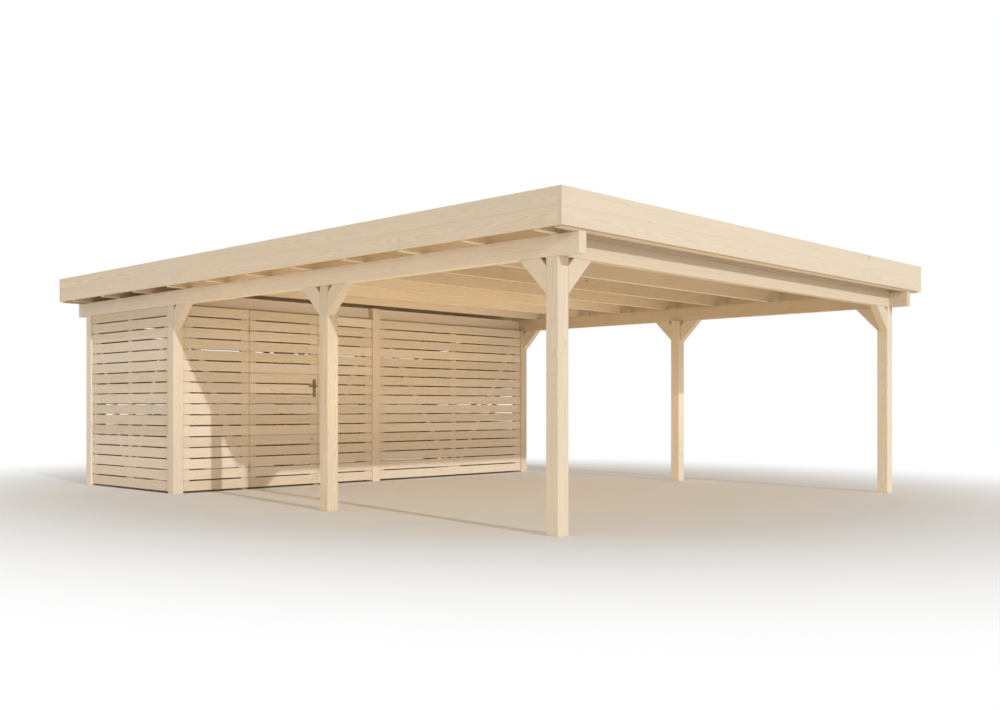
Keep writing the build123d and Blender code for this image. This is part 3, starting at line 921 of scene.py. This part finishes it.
def merged(node):
    """A node's surface with the triangles joined at equal corners and its flats made whole."""
    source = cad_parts[node].data
    source.calc_loop_triangles()
    place = np.empty(3 * len(source.vertices), np.float32)
    source.vertices.foreach_get("co", place)
    place = place.reshape(-1, 3)
    corners = np.empty(3 * len(source.loop_triangles), np.int32)
    source.loop_triangles.foreach_get("vertices", corners)
    _, first, same = np.unique(place.round(SAME_PLACE_DIGITS), axis=0, return_index=True,
                               return_inverse=True)
    triangles = same.reshape(-1)[corners].reshape(-1, 3)
    mesh = bpy.data.meshes.new(node)
    mesh.from_pydata(place[first].tolist(), [], triangles.tolist())
    net = bmesh.new()
    net.from_mesh(mesh)
    bmesh.ops.dissolve_limit(net, angle_limit=FLAT_WITHIN, verts=net.verts, edges=net.edges)
    net.to_mesh(mesh)
    net.free()
    return mesh


def eased(node, name, radius, material, body, slot, steps=2):
    """A node as it is, with its sharp arrises rounded to `radius`."""
    mesh = merged(node)
    mesh.shade_smooth()
    made = put_in_place(name, mesh, material, body, slot, node)
    rounding = made.modifiers.new("eased arrises", "BEVEL")
    rounding.width = radius
    rounding.segments = steps
    rounding.limit_method = "ANGLE"
    rounding.angle_limit = math.radians(SHARP_ARRIS)
    rounding.harden_normals = True


squared = {f"{row}_{side}_post": "z" for row in ("front", "mid", "store", "rear")
           for side in ("left", "right")}
squared.update({"store_middle_post": "z", "rear_middle_post": "z", "door_jambs": "z",
                "left_purlin": "y", "right_purlin": "y", "front_beam": "x",
                "store_beam": "x", "rear_beam": "x"})
for log, (node, along) in enumerate(squared.items()):
    finish = spruce(f"planed {node}", timber_grain(node, along, log))
    slot = "wall_boards" if node == "door_jambs" else "frame_timber"
    eased(node, f"{node}_timber", POST_ARRIS, finish, "frame", slot)

post_line = [sum(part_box(f"{row}_left_post"), Vector()).y / 2 for row in ("front", "mid", "store")]
bay_middles = [(post_line[0] + post_line[1]) / 2, (post_line[1] + post_line[2]) / 2]
bays_middle = sum(bay_middles) / 2
bays_half = (bay_middles[1] - bay_middles[0]) / 2
braces = {
    "left_braces": brace_grain("y", bays_middle, bays_half, 0),
    "right_braces": brace_grain("y", bays_middle, bays_half, 1),
    "front_braces": brace_grain("x", 0.0, 0.0, 2),
}
for node, grain_of in braces.items():
    eased(node, f"{node}_timber", BRACE_ARRIS, spruce(f"planed {node}", grain_of), "frame",
          "frame_timber")

for body in ("frame", "door"):
    eased(f"{body}_hinges", f"{body}_hinge_halves", FITTING_ARRIS, zinc_steel, body,
          "hinge_steel")
for side in ("outer", "inner"):
    eased(f"{side}_handle_plate", f"{side}_long_plate", PLATE_ARRIS, bronze, "door",
          "handle_metal", steps=3)
eased("lever_spindle", "lever_necks", FITTING_ARRIS, bronze, "lever", "handle_metal")


# Grips, key cylinder and the plates' screws


def wrapped(rows):
    """Close a net of rings, given as (row, place round it, xyz), with a cap at each end."""
    net = np.arange(rows[..., 0].size).reshape(rows.shape[:2])
    after = np.roll(net, -1, axis=1)
    sides = np.stack([net[:-1], net[1:], after[1:], after[:-1]], -1).reshape(-1, 4)
    return {"points": rows.reshape(-1, 3), "faces": [sides, net[:1], net[-1:, ::-1]]}


def smooth(made):
    """Shade a rounded piece smoothly, apart from its sharp edges."""
    made.data.shade_smooth()
    made.data.set_sharp_from_angle(angle=math.radians(SMOOTH_BELOW))


def round_power(value, power):
    """A sine or cosine raised to 2 / power with its sign kept, for a superellipse."""
    return np.sign(value) * np.abs(value) ** (2 / power)


def grip(node):
    """A lever grip with soft edges, rounded at both ends.

    With s the place along the grip, its half height is r = sqrt(R^2 - e^2), where e is how
    far s runs into the round end of radius R, and its half thickness is T sqrt(r / R). The
    section is a superellipse of power `GRIP_POWER` on those two half sizes.
    """
    low, high = corners_of(node)
    middle, half = (low + high) / 2, (high - low) / 2
    radius = half[2]
    s = half[0] * np.sin(np.linspace(-math.pi / 2, math.pi / 2, GRIP_RINGS)) * TIP_SHARE
    into = (np.abs(s) - (half[0] - radius)).clip(0)
    tall = np.sqrt(radius ** 2 - into ** 2)
    thick = half[1] * np.sqrt(tall / radius)
    turn = np.linspace(0, 2 * math.pi, GRIP_SIDES, endpoint=False)
    return wrapped(np.stack([
        middle[0] + s[:, None] + 0 * turn,
        middle[1] + thick[:, None] * round_power(np.sin(turn), GRIP_POWER),
        middle[2] + tall[:, None] * round_power(np.cos(turn), GRIP_POWER),
    ], -1))


for side in ("outer", "inner"):
    smooth(piece(f"{side}_lever_grip", grip(f"{side}_grip"), bronze, "lever", "handle_metal",
                 f"{side}_grip"))


def lock_cylinder():
    """The key cylinder: a profile of radius and depth turned about Y, the same at both ends.

    From the middle of each face outwards: the plug, the fine groove round it, the flat
    rim of the housing, its rounded edge, and the side.
    """
    low, high = corners_of("key_cylinder")
    middle, full = (low + high) / 2, (high[0] - low[0]) / 2
    radius = full * np.array(CYLINDER_RINGS)
    depth = np.array(CYLINDER_DEPTHS)
    radius = np.concatenate([radius, radius[::-1]])
    place = np.concatenate([low[1] + depth, high[1] - depth[::-1]])
    turn = np.linspace(0, 2 * math.pi, CYLINDER_SIDES, endpoint=False)
    return wrapped(np.stack([
        middle[0] + radius[:, None] * np.cos(turn),
        place[:, None] + 0 * turn,
        middle[2] + radius[:, None] * np.sin(turn),
    ], -1))


def slabs(low, high):
    """Flat rectangular slabs between their lowest and highest corners."""
    pick = np.array([[x, y, z] for x in (0, 1) for y in (0, 1) for z in (0, 1)])
    points = np.where(pick, high[:, None], low[:, None]).reshape(-1, 3)
    sides = np.array([[0, 1, 3, 2], [4, 6, 7, 5], [0, 4, 5, 1], [2, 3, 7, 6], [0, 2, 6, 4],
                      [1, 5, 7, 3]])
    faces = (sides + 8 * np.arange(len(low))[:, None, None]).reshape(-1, 4)
    return {"points": points, "faces": [faces]}


def key_slot_shades():
    """The slot of the key in each face of the cylinder: painted shade, a dark slab sunk in its
    plug.
    """
    low, high = corners_of("key_cylinder")
    centres = np.tile((low + high) / 2, (2, 1))
    centres[:, 1] = low[1] + KEY_SLOT_SUNK, high[1] - KEY_SLOT_SUNK
    return slabs(centres - np.array(KEY_SLOT_HALF), centres + np.array(KEY_SLOT_HALF))


def plate_heads(side, out):
    """Heads of the two screws of a handle plate, near its ends."""
    low, high = corners_of(f"{side}_handle_plate")
    face = low[1] if out == FRONT else high[1]
    levels = low[2] + PLATE_SCREW_INSET, high[2] - PLATE_SCREW_INSET
    return screw_heads([[(low[0] + high[0]) / 2, face, level] for level in levels], out)


smooth(piece("lock_cylinder", lock_cylinder(), zinc_steel, "door", "hinge_steel",
             "key_cylinder"))
# A slab of painted shade in each key slot
piece("key_slot_shades", key_slot_shades(), key_slot_shade, "door", "hinge_steel")
piece("plate_screws", gather([plate_heads("outer", FRONT), plate_heads("inner", REAR)]), bronze,
      "door", "handle_metal")


# Floor, light and camera


def pale_floor():
    """A pale floor, which the camera sees fade to white away from the object.

    How far a point lies is its distance over an oval: the root of (x / a)^2 + (y / b)^2.
    """
    mesh = bpy.data.meshes.new("floor")
    corners = [(-1, -1, 0), (1, -1, 0), (1, 1, 0), (-1, 1, 0)]
    mesh.from_pydata((FLOOR_REACH * np.array(corners)).tolist(), [], [(0, 1, 2, 3)])
    floor = bpy.data.objects.new("floor", mesh)
    bpy.context.scene.collection.objects.link(floor)
    material, tree = new_finish("pale floor")
    place = put(tree, "ShaderNodeTexCoord").outputs["Object"]
    over_oval = (1 / FLOOR_OVAL[0], 1 / FLOOR_OVAL[1], 0)
    far = distance(tree, reckon_vector(tree, "MULTIPLY", place, over_oval))
    white = reckon(tree, "MULTIPLY", ramp(tree, far, *FLOOR_FADE),
                   put(tree, "ShaderNodeLightPath").outputs["Is Camera Ray"])
    paint = put(tree, "ShaderNodeBsdfPrincipled", {
        "Base Color": rgb(FLOOR), "Roughness": FLOOR_ROUGHNESS,
        "Specular IOR Level": FLOOR_SHINE,
    })
    glow = put(tree, "ShaderNodeEmission", {"Color": rgb(WHITE), "Strength": 1.0})
    mixed = put(tree, "ShaderNodeMixShader", {0: white, 1: paint.outputs[0], 2: glow.outputs[0]})
    put(tree, "ShaderNodeOutputMaterial", {"Surface": mixed.outputs[0]})
    mesh.materials.append(material)


def hang(light, place, toward):
    """Put a light at a place, shining one way."""
    lamp = bpy.data.objects.new(light.name, light)
    lamp.location = place
    lamp.rotation_euler = Vector(toward).to_track_quat("-Z", "Y").to_euler()
    bpy.context.scene.collection.objects.link(lamp)
    return lamp


def studio_light():
    """Soft light from all round, strongest low down in front, and a low sun from there."""
    world = bpy.data.worlds.new("studio")
    bpy.context.scene.world = world
    world.use_nodes = True
    tree = world.node_tree
    tree.nodes.clear()
    ray = put(tree, "ShaderNodeLightPath").outputs
    seen = reckon(tree, "MAXIMUM", ray["Is Camera Ray"], ray["Is Glossy Ray"])
    seen = reckon(tree, "MAXIMUM", seen, ray["Is Transmission Ray"])
    around = put(tree, "ShaderNodeTexCoord").outputs["Generated"]
    toward = put(tree, "ShaderNodeSeparateXYZ", {0: around}).outputs
    low_down = ramp(tree, toward[2], *LOW_DOWN)
    forward = reckon(tree, "MULTIPLY", toward[0], FRONT_WAY[0])
    forward = reckon(tree, "MULTIPLY_ADD", toward[1], FRONT_WAY[1], forward)
    strength = reckon(tree, "MULTIPLY", low_down, ramp(tree, forward, *IN_FRONT))
    strength = reckon(tree, "MULTIPLY_ADD", strength, FRONT_LIGHT, ALL_ROUND_LIGHT)
    soft = put(tree, "ShaderNodeBackground", {"Color": rgb(SOFT_LIGHT), "Strength": strength})
    white = put(tree, "ShaderNodeBackground", {"Color": rgb(WHITE), "Strength": 1.0})
    mixed = put(tree, "ShaderNodeMixShader", {0: seen, 1: soft.outputs[0], 2: white.outputs[0]})
    put(tree, "ShaderNodeOutputWorld", {"Surface": mixed.outputs[0]})

    sun = bpy.data.lights.new("sun", "SUN")
    sun.energy = SUN
    sun.angle = math.radians(SUN_ANGLE)
    sun.color = SUN_COLOUR
    hang(sun, (0, 0, 0), SUN_TOWARD)


def bounced_light(name, energy, colour, width, length, place, toward, spread):
    """Warm light thrown back by the floor, as a sheet of light that the camera can't see."""
    sheet = bpy.data.lights.new(name, "AREA")
    sheet.shape = "RECTANGLE"
    sheet.size, sheet.size_y = width, length
    sheet.energy = energy
    sheet.color = colour
    sheet.spread = math.radians(spread)
    hang(sheet, place, toward).visible_camera = False


def camera():
    """The view from the front left corner, level and at hip height, with a risen lens."""
    lens = bpy.data.cameras.new("camera")
    lens.sensor_width = FILM
    lens.lens = LENS
    lens.shift_y = RISE
    lens.clip_end = SIGHT
    view = bpy.data.objects.new("camera", lens)
    view.location = EYE
    view.rotation_euler = (math.radians(90), 0, math.radians(-HEADING))
    bpy.context.scene.collection.objects.link(view)
    bpy.context.scene.camera = view


pale_floor()
studio_light()
for name, sheet in BOUNCED_LIGHTS.items():
    bounced_light(name, *sheet)
camera()
bpy.context.scene.view_settings.view_transform = "Standard"
